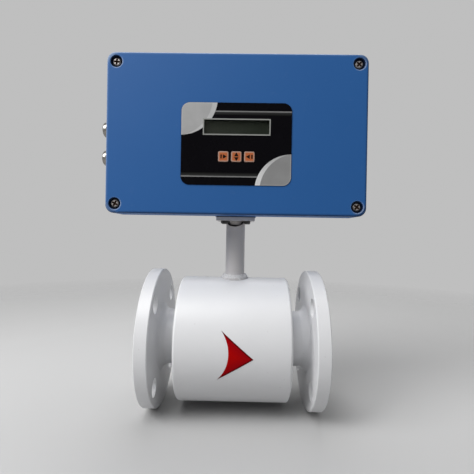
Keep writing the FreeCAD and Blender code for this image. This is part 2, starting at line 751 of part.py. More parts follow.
def main_board():
    """The board in the base that drives the coils and reads the electrodes."""
    back = MAIN_BOARD_FRONT + BOARD_THICKNESS
    board = panel(MAIN_BOARD_WIDTH, MAIN_BOARD_HEIGHT, 2.0, MAIN_BOARD_FRONT, back,
                  0.0, MAIN_BOARD_MIDDLE)
    holes = [
        cylinder(1.6, MAIN_BOARD_FRONT - 1, back + 1, spot, Y)
        for spot in spots(MAIN_POST_X, MAIN_POST_HEIGHTS)
    ]
    return board.cut(holes)


def transformer():
    """The mains transformer: a laminated block with the winding through its middle."""
    centre_x = 50.0
    middle = 92.0
    face = MAIN_BOARD_FRONT
    core = panel(48.0, 40.0, 0.5, face - 26, face - 8, centre_x, middle)
    winding = panel(32.0, 26.0, 3.0, face - 34, face, centre_x, middle)
    return core.fuse(winding).removeSplitter()


def terminal_strip():
    """The screw terminals for power, output and the sensor's wires."""
    count = 10
    pitch = 9.0
    face = MAIN_BOARD_FRONT
    left = -30.0 - count * pitch / 2
    bottom = BOX_BOTTOM + 35.0
    body = block(Vector(left, face - 16, bottom), Vector(left + count * pitch, face, bottom + 14))
    for i in range(count):
        low = Vector(left + i * pitch + 1.5, face - 17, bottom + 4)
        body = body.cut(block(low, low + Vector(pitch - 3, 6, 6)))
    return body


def capacitor(x):
    """A smoothing capacitor that stands on the main board."""
    can = cylinder(8.0, MAIN_BOARD_FRONT - 25, MAIN_BOARD_FRONT, Vector(x, 0, BOX_BOTTOM + 100), Y)
    return can.makeChamfer(1.0, edges_at_depth(can, MAIN_BOARD_FRONT - 25))


def processor():
    """The processor on the main board."""
    return panel(14.0, 14.0, 0.3, MAIN_BOARD_FRONT - 1.4, MAIN_BOARD_FRONT, -62.0, 98.0)


# ---------------------------------------------------------------- cable glands
# Each gland's pieces are turned about its own axis, which points out of the wall, along -X.
# Distances are from the wall's outer face, and are negative inside the enclosure.

def gland_centre(name):
    """The point where a gland's axis meets the flat that is spot-faced on the side wall."""
    return Vector(-GLAND_SEAT, GLAND_Y, BOX_BOTTOM + GLAND_HEIGHTS[name])


def gland_washer(centre):
    """The sealing washer between the gland and the wall."""
    return tube(10.4, GLAND_THREAD_RADIUS + SEAT_FIT, 0, 1.2, centre, -X)


def gland_body(centre):
    """The gland's body: a hexagon collar between two threaded spigots, bored through."""
    collar = hexagon(GLAND_FLATS, 1.2, 6.0, centre, -X)
    spigot = cylinder(GLAND_THREAD_RADIUS, -10, 14, centre, -X)
    body = collar.fuse(spigot).cut(cylinder(GLAND_BORE, -11, 15, centre, -X))
    return body.cut(cylinder(6.6, 8, 15, centre, -X))


def gland_seal(centre):
    """The rubber sleeve that closes on the cable."""
    return turned([
        (8.1, GLAND_SEAL_BORE),
        (8.1, 6.5),
        (15.5, 6.5),
        (17.5, 5.2),
        (17.5, GLAND_SEAL_BORE),
    ], -X, centre)


def gland_nut(centre):
    """The dome nut: hexagon flats at its foot and a rounded nose with the cable's hole."""
    flats = hexagon(GLAND_FLATS, 6.4, GLAND_LENGTH, centre, -X)
    dome = turned([
        (6.4, 0.0),
        (6.4, 10.9),
        (14.5, 10.9),
        (16.0, 9.3),
        (GLAND_LENGTH - 4.5, 9.0),
        (GLAND_LENGTH - 1.8, 8.4),
        (GLAND_LENGTH - 0.5, 7.2),
        (GLAND_LENGTH, 6.0),
        (GLAND_LENGTH, 0.0),
    ], -X, centre)
    inside = turned([
        (5.0, 0.0),
        (5.0, GLAND_THREAD_RADIUS + SEAT_FIT),
        (15.0, GLAND_THREAD_RADIUS + SEAT_FIT),
        (19.0, 5.6),
        (22.5, 4.7),
        (GLAND_LENGTH - 1.0, 4.7),
        (GLAND_LENGTH + 1, 6.2),
        (GLAND_LENGTH + 1, 0.0),
    ], -X, centre)
    return flats.common(dome).cut(inside)


def gland_locknut(centre):
    """The thin nut that holds the gland from inside the enclosure."""
    nut = hexagon(GLAND_FLATS, -BOX_WALL - 4.0, -BOX_WALL, centre, -X)
    return nut.cut(cylinder(GLAND_THREAD_RADIUS + SCREW_FIT, -20, 5, centre, -X))


# ---------------------------------------------------------------- all pieces

def flow_tube_pieces():
    """Pieces of the sensor, from the flanges to the coils."""
    return {
        "measuring_pipe": measuring_pipe(),
        "liner": liner(),
        "inlet_flange": half_turn(flange()),
        "outlet_flange": flange(),
        "flange_welds": Part.makeCompound([half_turn(flange_weld()), flange_weld()]),
        "coil_housing": coil_housing(),
        "inlet_end_plate": half_turn(end_plate()),
        "outlet_end_plate": end_plate(),
        "end_plate_welds": Part.makeCompound([half_turn(end_plate_weld()), end_plate_weld()]),
        "upper_pole_core": pole_core(),
        "lower_pole_core": turned_under(pole_core()),
        "upper_coil": coil(),
        "lower_coil": turned_under(coil()),
        "return_yoke": return_yoke(),
        "rear_electrode": electrode(),
        "front_electrode": half_turn(electrode()),
        "rear_electrode_bush": electrode_bush(),
        "front_electrode_bush": half_turn(electrode_bush()),
        "electrode_nuts": Part.makeCompound([electrode_nut(), half_turn(electrode_nut())]),
        "flow_arrow": flow_arrow(),
    }


def neck_pieces():
    """Pieces that join the display head to the sensor."""
    corners = neck_corners()
    return {
        "neck_pipe": neck_pipe(),
        "neck_plate": neck_plate(),
        "neck_gasket": neck_sheet(PLATE_TOP, BOX_BOTTOM, NECK_HOLE_RADIUS),
        "neck_bolts": Part.makeCompound([neck_bolt(corner) for corner in corners]),
        "neck_nuts": Part.makeCompound([neck_nut(corner) for corner in corners]),
    }


def head_pieces():
    """The enclosure, its overlay, window and keys."""
    places = zip(spots(SCREW_X, SCREW_HEIGHTS), CROSS_TURNS)
    screws = [cover_screw(spot, turn) for spot, turn in places]
    pieces = {
        "enclosure_base": enclosure_base(),
        "enclosure_cover": enclosure_cover(),
        "cover_gasket": cover_gasket(),
        "cover_screws": Part.makeCompound(screws),
        "front_overlay": front_overlay(),
        "display_window": display_window(),
    }
    for name, x in key_places():
        pieces[name] = key(x)
    return pieces


def board_pieces():
    """The display module, the boards and what is on them."""
    display_spots = spots(DISPLAY_POST_X, DISPLAY_POST_HEIGHTS)
    main_spots = spots(MAIN_POST_X, MAIN_POST_HEIGHTS)
    main_screws = [board_screw(spot, MAIN_BOARD_FRONT, 7.5) for spot in main_spots]
    return {
        "lcd_bezel": lcd_bezel(),
        "lcd_glass": lcd_glass(),
        "lcd_board": lcd_board(),
        "lcd_spacers": Part.makeCompound([lcd_spacer(spot) for spot in lcd_corners()]),
        "display_board": display_board(),
        "key_switches": Part.makeCompound([key_switch(x) for _, x in key_places()]),
        "display_screws": Part.makeCompound([display_screw(spot) for spot in display_spots]),
        "main_board": main_board(),
        "board_screws": Part.makeCompound(main_screws),
        "transformer": transformer(),
        "terminal_strip": terminal_strip(),
        "capacitors": Part.makeCompound([capacitor(x) for x in (-8.0, 12.0)]),
        "processor": processor(),
    }


def gland_pieces():
    """Both cable glands, each with the same five pieces."""
    makers = {
        "washer": gland_washer,
        "body": gland_body,
        "seal": gland_seal,
        "nut": gland_nut,
        "locknut": gland_locknut,
    }
    pieces = {}
    for name in GLAND_HEIGHTS:
        for piece, make in makers.items():
            pieces[name + "_gland_" + piece] = make(gland_centre(name))
    return pieces


def main():
    os.makedirs("parts", exist_ok=True)
    pieces = {}
    for group in (flow_tube_pieces(), neck_pieces(), head_pieces(), board_pieces(), gland_pieces()):
        pieces.update(group)
    for name, shape in pieces.items():
        shape.exportStep("parts/" + name + ".step")
        print(f"{name:22s} solids {len(shape.Solids)}  volume {shape.Volume / 1000:9.2f} cm3")


main()
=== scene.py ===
import json
import math
import random

import bpy
from mathutils import Matrix, Vector


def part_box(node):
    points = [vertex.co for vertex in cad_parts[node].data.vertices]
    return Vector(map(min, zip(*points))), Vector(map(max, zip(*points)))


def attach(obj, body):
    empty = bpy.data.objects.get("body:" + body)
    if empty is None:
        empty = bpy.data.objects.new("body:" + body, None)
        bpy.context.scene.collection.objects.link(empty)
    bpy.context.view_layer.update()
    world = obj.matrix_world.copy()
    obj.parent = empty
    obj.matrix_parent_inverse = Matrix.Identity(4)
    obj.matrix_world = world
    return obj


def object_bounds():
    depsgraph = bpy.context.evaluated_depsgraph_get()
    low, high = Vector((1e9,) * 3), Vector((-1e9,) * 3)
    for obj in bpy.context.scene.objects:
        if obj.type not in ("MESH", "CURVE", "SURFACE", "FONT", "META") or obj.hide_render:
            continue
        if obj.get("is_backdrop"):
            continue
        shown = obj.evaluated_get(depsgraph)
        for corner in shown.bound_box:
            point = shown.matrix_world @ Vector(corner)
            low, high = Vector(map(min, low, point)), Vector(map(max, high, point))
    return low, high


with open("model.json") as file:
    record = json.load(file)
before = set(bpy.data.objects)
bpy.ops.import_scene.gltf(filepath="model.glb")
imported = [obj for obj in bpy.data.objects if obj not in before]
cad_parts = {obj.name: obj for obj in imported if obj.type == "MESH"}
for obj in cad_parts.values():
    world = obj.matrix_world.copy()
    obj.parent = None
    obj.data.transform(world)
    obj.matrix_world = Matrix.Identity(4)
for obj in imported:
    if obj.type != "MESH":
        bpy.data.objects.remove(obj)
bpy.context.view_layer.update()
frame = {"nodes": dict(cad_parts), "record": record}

MM = 0.001
BODY = "meter"

FILM_LAYER = 0.03 * MM
FILM_CORNER = 8.5 * MM
FILM_INSET = 0.15 * MM
FILM_GRAIN = 0.35 * MM
SECTOR_RADIUS = 36.5 * MM
WINDOW_FRAME = 1.2 * MM
RULE_HALF_HEIGHT = 0.55 * MM
BAND_HEIGHT = 3.4 * MM
CUTTER_REACH = 2 * MM

COVER_CORNER = 14 * MM
SCREW_HEAD_RADIUS = 4.0 * MM
CROSS_HALF_LENGTH = 2.7 * MM
CROSS_HALF_WIDTH = 0.6 * MM
ARROW_POINT = (20.3 * MM, -3.2 * MM)
ARROW_UPPER = (-11.1 * MM, 23.2 * MM)
ARROW_LOWER = (-14.5 * MM, -24.4 * MM)
CROSS_TURNS = {(-1, -1): 28.0, (-1, 1): 6.0, (1, -1): 38.0, (1, 1): 44.0}


# ---------------------------------------------------------------- shader maths

class Shade:
    """A value in a finish; arithmetic on it adds Math nodes to the finish."""

    def __init__(self, finish, socket):
        self.finish = finish
        self.socket = socket

    def __add__(self, other):
        return self.finish.maths("ADD", self, other)

    def __radd__(self, other):
        return self.finish.maths("ADD", other, self)

    def __sub__(self, other):
        return self.finish.maths("SUBTRACT", self, other)

    def __rsub__(self, other):
        return self.finish.maths("SUBTRACT", other, self)

    def __mul__(self, other):
        return self.finish.maths("MULTIPLY", self, other)

    def __truediv__(self, other):
        return self.finish.maths("DIVIDE", self, other)

    def __lt__(self, other):
        return self.finish.maths("LESS_THAN", self, other)

    def __gt__(self, other):
        return self.finish.maths("GREATER_THAN", self, other)

    def __abs__(self):
        return self.finish.maths("ABSOLUTE", self)

    def __mod__(self, other):
        return self.finish.maths("FLOORED_MODULO", self, other)


class Finish:
    """A material under construction, with the few patterns that the meter's finishes share."""

    def __init__(self, name):
        self.material = bpy.data.materials.new(name)
        self.material.use_nodes = True
        self.tree = self.material.node_tree
        self.tree.nodes.clear()
        self.place = self.node("ShaderNodeTexCoord", {}, {}, "Object")
        self.relief = None

    def node(self, kind, settings, sockets, output=0):
        """Add a node: its settings first, then the values or links of its sockets."""
        added = self.tree.nodes.new(kind)
        for key, value in settings.items():
            if key == "stops":
                self.set_stops(added.color_ramp, value)
            else:
                setattr(added, key, value)
        for key, value in sockets.items():
            if isinstance(value, Shade):
                self.tree.links.new(value.socket, added.inputs[key])
            else:
                added.inputs[key].default_value = value
        if not added.outputs:
            return added
        return Shade(self, added.outputs[output])

    def maths(self, operation, first, second=0.0):
        """A sum on one or two values."""
        return self.node("ShaderNodeMath", {"operation": operation}, {0: first, 1: second})

    @staticmethod
    def set_stops(ramp, stops):
        """Give a ramp its stops: (position, grey level)."""
        while len(ramp.elements) < len(stops):
            ramp.elements.new(1.0)
        for element, (position, level) in zip(ramp.elements, stops):
            element.position = position
            element.color = (level, level, level, 1.0)

    def noise(self, size, detail=3.0, roughness=0.5):
        """Smooth noise whose features are about size across, in metres."""
        sockets = {"Vector": self.place, "Scale": 1 / size}
        sockets.update({"Detail": detail, "Roughness": roughness})
        return self.node("ShaderNodeTexNoise", {}, sockets)

    def ramp(self, value, *stops):
        """A value spread between stops."""
        return self.node("ShaderNodeValToRGB", {"stops": stops}, {"Fac": value})

    def blend(self, factor, first, second):
        """A colour between two colours."""
        sockets = {"Factor": factor, 6: first, 7: second}
        return self.node("ShaderNodeMix", {"data_type": "RGBA"}, sockets, 2)

    def edges(self, radius):
        """A mask that is 1 on edges sharper than a radius, and 0 on open faces."""
        bevelled = self.node("ShaderNodeBevel", {"samples": 4}, {"Radius": radius})
        plain = self.node("ShaderNodeNewGeometry", {}, {}, "Normal")
        alike = self.node("ShaderNodeVectorMath", {"operation": "DOT_PRODUCT"},
                          {0: bevelled, 1: plain}, "Value")
        return self.ramp(1 - alike, (0.0, 0.0), (0.12, 1.0))

    def hollows(self, distance):
        """A mask that is 1 in corners and recesses."""
        open_air = self.node("ShaderNodeAmbientOcclusion", {"samples": 6},
                             {"Distance": distance}, "AO")
        return self.ramp(open_air, (0.25, 1.0), (0.85, 0.0))

    def along(self, axis, centre=0.0):
        """Distance along an axis from a plane, in metres."""
        return self.node("ShaderNodeSeparateXYZ", {}, {"Vector": self.place}, axis) - centre

    def outside(self, across, up, half_width, half_height, corner):
        """Signed distance from a rounded rectangle's outline, negative inside it."""
        past_side = abs(across) - (half_width - corner)
        past_top = abs(up) - (half_height - corner)
        inside = self.maths("MINIMUM", self.maths("MAXIMUM", past_side, past_top))
        side = self.maths("MAXIMUM", past_side)
        top = self.maths("MAXIMUM", past_top)
        return self.reach(side, top) + inside - corner

    def reach(self, across, up):
        """The length of a step across and up."""
        return self.maths("SQRT", across * across + up * up)

    def emboss(self, height, depth, strength=1.0):
        """Press a height pattern into the surface, on top of what is there already."""
        sockets = {"Strength": strength, "Distance": depth, "Height": height}
        if self.relief is not None:
            sockets["Normal"] = self.relief
        self.relief = self.node("ShaderNodeBump", {}, sockets)

    def surface(self, **values):
        """The finish's shader; keywords are socket names with _ for a space."""
        sockets = {key.replace("_", " "): value for key, value in values.items()}
        if self.relief is not None:
            sockets["Normal"] = self.relief
        shader = self.node("ShaderNodeBsdfPrincipled", {}, sockets)
        self.node("ShaderNodeOutputMaterial", {}, {"Surface": shader})
        return self.material


def rgb(red, green, blue):
    """A colour with full alpha, in linear light."""
    return (red, green, blue, 1.0)


def grey(level):
    return rgb(level, level, level)


# ---------------------------------------------------------------- finishes

def white_enamel(name, base=(0.795, 0.798, 0.812), hollow_darkening_share=0.38):
    """Sprayed gloss enamel on steel: orange peel, a faint grey darkening in corners and recesses
    from ambient occlusion, a few specks.
    """
    paint = Finish(name)
    cloudy = paint.noise(45 * MM, 4.0)
    # a patchy darker grey in corners and recesses, found by ambient occlusion
    hollow_darkening = paint.hollows(9 * MM) * paint.ramp(paint.noise(12 * MM), (0.35, 0.2), (0.7, 0.75))
    specks = paint.ramp(paint.noise(2.4 * MM, 0.0), (0.83, 0.0), (0.86, 0.5))
    colour = paint.blend(cloudy, rgb(*base), rgb(*[0.95 * level for level in base]))
    colour = paint.blend(hollow_darkening * hollow_darkening_share, colour, rgb(0.33, 0.32, 0.30))
    colour = paint.blend(specks * 0.45, colour, rgb(0.34, 0.32, 0.30))
    paint.emboss(paint.noise(22 * MM, 1.0), 0.35 * MM, 0.4)
    paint.emboss(paint.noise(3.2 * MM, 1.0), 0.05 * MM, 0.6)
    paint.emboss(paint.noise(0.7 * MM, 2.0), 0.012 * MM, 0.6)
    rough = 0.34 + paint.noise(18 * MM) * 0.16 + hollow_darkening * 0.2
    return paint.surface(Base_Color=colour, Roughness=rough, Coat_Weight=0.12, Coat_Roughness=0.24)


def blue_powder_coat():
    """Fine textured powder coat on the die-cast enclosure, a little thinner on its edges."""
    coat = Finish("blue_powder_coat")
    cloudy = coat.noise(60 * MM, 3.0)
    grain = coat.noise(0.9 * MM, 2.0)
    colour = coat.blend(cloudy, rgb(0.019, 0.103, 0.317), rgb(0.022, 0.112, 0.336))
    colour = coat.blend(grain * 0.15, colour, rgb(0.033, 0.145, 0.40))
    colour = coat.blend(coat.edges(0.7 * MM) * 0.3, colour, rgb(0.07, 0.17, 0.40))
    dust = coat.ramp(coat.noise(9 * MM, 6.0, 0.65), (0.62, 0.0), (0.85, 0.08))
    colour = coat.blend(dust, colour, rgb(0.26, 0.32, 0.42))
    # painted highlight and painted shade on the cover's rounded edge
    colour = painted_rim_light_and_shade(coat, colour)
    # painted shade in the screw counterbores and a painted highlight on their lower right lips
    colour = painted_counterbore_light_and_shade(coat, colour)
    # painted shade: the walls of the window opening made black
    colour = coat.blend(painted_window_wall_shade(coat), colour, grey(0.004))
    coat.emboss(grain, 0.035 * MM, 0.45)
    coat.emboss(coat.noise(4.5 * MM, 2.0), 0.06 * MM, 0.35)
    rough = 0.46 + grain * 0.12 + dust * 0.6
    return coat.surface(Base_Color=colour, Roughness=rough, Specular_IOR_Level=0.24)


def painted_rim_light_and_shade(finish, colour):
    """The cover's rounded edge: a painted highlight above and on the left, painted shade below and
    on the right.
    """
    low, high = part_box("enclosure_cover")
    middle = (low + high) / 2
    half = (high - low) / 2
    across = finish.along("X", middle.x)
    up = finish.along("Z", middle.z)
    inset = finish.outside(across, up, half.x, half.z, COVER_CORNER) * 1000
    front = near_front(finish, 2 * MM)
    sunlit = finish.ramp(up * (1 / half.z) - across * (1 / half.x) + 0.5, (0.3, 0.0), (0.7, 1.0))
    # painted highlight on the upper and left edge
    pale = finish.ramp(inset * 0.33 + 1, (0.0, 0.0), (0.5, 0.1), (1.0, 0.75)) * front * sunlit
    # painted shade on the lower and right edge
    dark = finish.ramp(inset * 0.4 + 1.1, (0.0, 0.0), (1.0, 0.8)) * front * (1 - sunlit)
    colour = finish.blend(pale, colour, rgb(0.26, 0.35, 0.50))
    return finish.blend(dark, colour, rgb(0.006, 0.024, 0.075))


def screw_offset(finish):
    """The place across and up from the nearest cover screw's axis, and the signs of its corner."""
    low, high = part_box("cover_screws")
    middle = (low + high) / 2
    half_x = (high.x - low.x) / 2 - SCREW_HEAD_RADIUS
    half_z = (high.z - low.z) / 2 - SCREW_HEAD_RADIUS
    place = []
    corner = []
    for axis, centre, half in (("X", middle.x, half_x), ("Z", middle.z, half_z)):
        distance = finish.along(axis, centre)
        sign = finish.maths("SIGN", distance)
        place.append(distance - sign * half)
        corner.append(sign)
    return place[0], place[1], corner[0], corner[1]


def screw_reach(finish):
    """Distance from the nearest cover screw's axis, in metres."""
    across, up, _, _ = screw_offset(finish)
    return finish.reach(across, up)


def painted_counterbore_light_and_shade(finish, colour):
    """Painted shade in the screws' counterbores, and a painted highlight on their lower right
    lips.
    """
    across, up, _, _ = screw_offset(finish)
    reach = finish.reach(across, up) * 100
    front = near_front(finish, 12 * MM)
    # painted highlight on the lower right of each counterbore's lip
    lower_right = finish.ramp((across - up) * 100 + 0.3, (0.2, 0.12), (1.0, 1.0)) * front
    lip_highlight = finish.ramp(reach, (0.60, 0.0), (0.64, 0.75))
    lip_highlight = lip_highlight * finish.ramp(reach, (0.67, 1.0), (0.72, 0.0))
    colour = finish.blend(lip_highlight * lower_right, colour, rgb(0.33, 0.42, 0.60))
    # painted shade inside each counterbore
    counterbore_shade = finish.ramp(reach, (0.58, 0.95), (0.62, 0.0)) * front
    return finish.blend(counterbore_shade, colour, rgb(0.002, 0.006, 0.022))


def screw_cross(finish):
    """A mask that is 1 on the cross recess of each cover screw and just round it."""
    across, up, side, top = screw_offset(finish)
    turn = 0
    for (right, upper), degrees in CROSS_TURNS.items():
        turn = turn + (1 + side * right) * (1 + top * upper) * (math.radians(degrees) / 4)
    cosine = finish.maths("COSINE", turn)
    sine = finish.maths("SINE", turn)
    along = across * cosine - up * sine
    beside = across * sine + up * cosine
    arm = (CROSS_HALF_LENGTH, CROSS_HALF_WIDTH, 0.2 * MM)
    nearest = finish.maths("MINIMUM", finish.outside(along, beside, *arm),
                           finish.outside(beside, along, *arm))
    ragged = nearest + finish.noise(1.0 * MM, 3.0) * (0.5 * MM)
    return finish.ramp(ragged * 1000, (0.45, 1.0), (0.85, 0.0))


def painted_window_wall_shade(finish):
    """A mask that is 1 on the walls of the window's opening, where painted shade makes them black.
    """
    low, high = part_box("display_window")
    middle = (low + high) / 2
    half = (high - low) / 2
    across = finish.along("X", middle.x)
    up = finish.along("Z", middle.z)
    inside = finish.outside(across, up, half.x + 0.5 * MM, half.z + 0.5 * MM, 1 * MM) < 0
    return inside * near_front(finish, 8 * MM)


def near_front(finish, depth):
    """A mask that is 1 up to a depth behind the cover's front, and 0 farther back."""
    return finish.along("Y") < (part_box("enclosure_cover")[0].y + depth)


def film_edge_highlight_mask(finish):
    """A mask that is 1 along the film's outline, for a painted highlight on its cut edge."""
    low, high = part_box("front_overlay")
    middle = (low + high) / 2
    half = (high - low) / 2
    across = finish.along("X", middle.x)
    up = finish.along("Z", middle.z)
    outside = finish.outside(across, up, half.x, half.z, FILM_CORNER)
    return finish.ramp(outside * 1000 + 1.4, (0.0, 0.0), (1.0, 1.0))


def film_print(name, colour, rough, metal=0.0, edge_highlight=1.0, fade=1.0):
    """Screen print under the film's clear face, with the film's fine matt grain.

    The print fades to a share of its colour from the film's lower left to its upper right corner.
    """
    print_coat = Finish(name)
    grain = print_coat.noise(FILM_GRAIN, 2.0)
    wiped = print_coat.ramp(print_coat.noise(14 * MM, 5.0, 0.6), (0.45, 0.0), (0.75, 1.0))
    tone = print_coat.blend(grain * 0.15, colour, rgb(*[level * 0.85 for level in colour[:3]]))
    cloud = print_coat.ramp(print_coat.noise(16 * MM, 2.0), (0.35, 0.0), (0.65, 1.0))
    tone = print_coat.blend(cloud * 0.3, tone, rgb(*[level * 1.3 for level in colour[:3]]))
    if fade < 1:
        low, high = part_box("front_overlay")
        rise = print_coat.along("Z", low.z) / (high.z - low.z)
        across = print_coat.along("X", high.x) / (high.x - low.x)
        share = print_coat.ramp(rise + across + 0.2, (0.0, 0.0), (0.5, 1.0))
        tone = print_coat.blend(share, tone, rgb(*[level * fade for level in colour[:3]]))
    # painted highlight along the film's cut edge
    if edge_highlight > 1:
        edge_highlight_tone = rgb(*[min(1.0, level * edge_highlight) for level in colour[:3]])
        tone = print_coat.blend(film_edge_highlight_mask(print_coat) * 0.8, tone, edge_highlight_tone)
    print_coat.emboss(grain, 0.006 * MM, 0.5)
    return print_coat.surface(Base_Color=tone, Roughness=rough + wiped * 0.08, Metallic=metal,
                              Specular_IOR_Level=0.04)


def band_print(name, low, high, rising):
    """A printed band that fades from charcoal to black across its height."""
    band = Finish(name)
    share = band.along("Z", low) / (high - low)
    if not rising:
        share = 1 - share
    colour = band.blend(share, grey(0.003), grey(0.038))
    band.emboss(band.noise(FILM_GRAIN), 0.006 * MM, 0.5)
    return band.surface(Base_Color=colour, Roughness=0.35, Specular_IOR_Level=0.04)


def red_film():
    """The arrow's gloss red film, darker along its cut edges and brighter toward its middle."""
    film = Finish("red_film")
    upper = inside_line(film, ARROW_POINT, ARROW_UPPER)
    lower = inside_line(film, ARROW_LOWER, ARROW_POINT)
    nearest = film.maths("MINIMUM", upper, lower)
    # darker along the arrow's cut edges, brighter toward its middle
    rim = film.ramp(nearest * 500, (0.35, 1.0), (0.85, 0.0))
    inner = film.ramp(nearest * 100, (0.2, 0.0), (1.0, 1.0))
    colour = film.blend(film.noise(20 * MM), rgb(0.34, 0.001, 0.004), rgb(0.30, 0.001, 0.004))
    colour = film.blend(inner, colour, rgb(0.44, 0.001, 0.001))
    colour = film.blend(rim * 0.8, colour, rgb(0.05, 0.0, 0.001))
    film.emboss(film.noise(2.5 * MM), 0.02 * MM, 0.4)
    return film.surface(Base_Color=colour, Roughness=0.36 + film.noise(8 * MM) * 0.1,
                        Specular_IOR_Level=0.04)


def inside_line(finish, start, end):
    """How far a point lies to the left of the line between two points (across, up), in metres."""
    run_across, run_up = end[0] - start[0], end[1] - start[1]
    length = math.hypot(run_across, run_up)
    across = finish.along("X", start[0]) * (-run_up / length)
    return across + finish.along("Z", start[1]) * (run_across / length)


def stained_zinc():
    """Dull zinc with brown corrosion in the screws' crosses and painted shade round the edges of
    their heads.
    """
    zinc = Finish("stained_zinc")
    marks = zinc.noise(0.8 * MM, 4.0)
    centre = screw_cross(zinc)
    # painted shade: a dark ring round the edge of each screw head
    rim = zinc.ramp(screw_reach(zinc) * 100, (0.385, 0.0), (0.42, 0.9))
    tone = zinc.blend(marks * 0.6, rgb(0.38, 0.365, 0.36), rgb(0.17, 0.155, 0.145))
    tone = zinc.blend(centre * 0.95, tone, rgb(0.036, 0.013, 0.004))
    tone = zinc.blend(rim, tone, rgb(0.012, 0.011, 0.013))
    zinc.emboss(marks, 0.02 * MM, 0.5)
    return zinc.surface(Base_Color=tone, Roughness=0.34 + marks * 0.2 + centre * 0.2,
                        Metallic=(1 - centre) * (1 - rim * 0.8), Specular_IOR_Level=0.08)


def bare_metal(name, colour, rough, recess_tone=None):
    """Bare or plated metal with fine handling marks, and a darker tone in its recesses, from
    ambient occlusion, if given.
    """
    metal = Finish(name)
    marks = metal.noise(0.8 * MM, 4.0)
    tone = metal.blend(marks * 0.4, rgb(*colour), rgb(*[level * 0.78 for level in colour]))
    metallic = 1.0
    if recess_tone is not None:
        # darker in recesses, found by ambient occlusion
        recess_darkening = metal.hollows(2.2 * MM)
        tone = metal.blend(recess_darkening * 0.95, tone, recess_tone)
        metallic = 1 - recess_darkening * 0.8
    metal.emboss(marks, 0.01 * MM, 0.3)
    shine = rough + metal.noise(3 * MM) * 0.14
    return metal.surface(Base_Color=tone, Roughness=shine, Metallic=metallic)


def moulded(name, colour, rough, grain=0.5):
    """Moulded plastic or rubber with a fine spark-eroded grain and faint soiling."""
    plastic = Finish(name)
    fine = plastic.noise(grain * MM, 2.0)
    worn = plastic.edges(0.3 * MM)
    tone = plastic.blend(plastic.noise(15 * MM), rgb(*colour), rgb(*[c * 0.85 for c in colour]))
    tone = plastic.blend(worn * 0.3, tone, rgb(*[min(1.0, c * 1.6 + 0.02) for c in colour]))
    plastic.emboss(fine, 0.02 * MM, 0.5)
    return plastic.surface(Base_Color=tone, Roughness=rough + fine * 0.1)


def orange_key():
    """An orange key cap with a pale border round its face."""
    low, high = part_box("middle_key")
    middle = (low + high) / 2
    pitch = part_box("right_key")[0].x - low.x
    cap = Finish("orange_key")
    across = ((cap.along("X", middle.x) + 1.5 * pitch) % pitch) - pitch / 2
    up = cap.along("Z", middle.z)
    collar_width = 1.15 * MM
    half = (high.x - low.x) / 2 - collar_width
    border = cap.ramp(cap.outside(across, up, half, half, 1.6 * MM) * 1000 + 1.6,
                      (0.2, 0.0), (0.8, 1.0))
    tone = cap.blend(cap.noise(4 * MM), rgb(0.50, 0.137, 0.043), rgb(0.43, 0.112, 0.034))
    tone = cap.blend(border * 0.9, tone, rgb(0.46, 0.305, 0.24))
    cap.emboss(cap.noise(0.4 * MM), 0.008 * MM, 0.5)
    return cap.surface(Base_Color=tone, Roughness=0.36 + cap.noise(3 * MM) * 0.1,
                       Specular_IOR_Level=0.3)


def unlit_display():
    """The display with no power: a dark green grey ground with the faint ghosts of its cells, and
    a painted reflection that lightens its left side.
    """
    low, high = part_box("lcd_glass")
    middle = (low + high) / 2
    panel = Finish("unlit_display")
    across = panel.along("X", middle.x)
    height = panel.along("Z", middle.z)
    cell = ((across + 200 * MM) % (3.55 * MM)) < (2.95 * MM)
    row = (abs(height) > (0.25 * MM)) * (abs(height) < (5.8 * MM)) * (abs(across) < (28.4 * MM))
    ground = panel.blend(panel.noise(40 * MM), rgb(0.054, 0.067, 0.049), rgb(0.064, 0.077, 0.057))
    # painted reflection: paler grey towards the display's left side
    painted_reflection = panel.ramp(across * 10 + 0.5, (0.1, 1.0), (0.75, 0.0))
    ground = panel.blend(painted_reflection * 0.8, ground, rgb(0.140, 0.143, 0.120))
    tone = panel.blend(cell * row * 0.15, ground, rgb(0.028, 0.036, 0.025))
    return panel.surface(Base_Color=tone, Roughness=0.34 + panel.noise(6 * MM) * 0.08,
                         Specular_IOR_Level=0.15)


def clear_pane():
    """The clear pane over the display, with the faintest haze."""
    pane = Finish("clear_pane")
    haze = pane.noise(10 * MM, 4.0)
    clear = pane.node("ShaderNodeBsdfTransparent", {}, {"Color": rgb(0.93, 0.94, 0.93)})
    gloss = pane.node("ShaderNodeBsdfPrincipled", {}, {
        "Base Color": grey(0.02), "Roughness": 0.08 + haze * 0.08,
    })
    shine = pane.node("ShaderNodeFresnel", {}, {"IOR": 1.3}) * 0.7 + haze * 0.02
    both = pane.node("ShaderNodeMixShader", {}, {0: shine, 1: clear, 2: gloss})
    pane.node("ShaderNodeOutputMaterial", {}, {"Surface": both})
    return pane.material


def circuit_board():
    """Solder mask with the shimmer of the glass weave and of tracks under it."""
    board = Finish("circuit_board")
    weave = board.noise(0.5 * MM, 1.0)
    tracks = board.node("ShaderNodeTexVoronoi", {"feature": "DISTANCE_TO_EDGE"},
                        {"Vector": board.place, "Scale": 1 / (4 * MM)}, "Distance")
    line = board.ramp(tracks, (0.04, 1.0), (0.06, 0.0))
    tone = board.blend(weave, rgb(0.012, 0.10, 0.035), rgb(0.016, 0.13, 0.045))
    tone = board.blend(line * 0.6, tone, rgb(0.03, 0.24, 0.08))
    board.emboss(line, 0.03 * MM)
    return board.surface(Base_Color=tone, Roughness=0.35 + weave * 0.1)


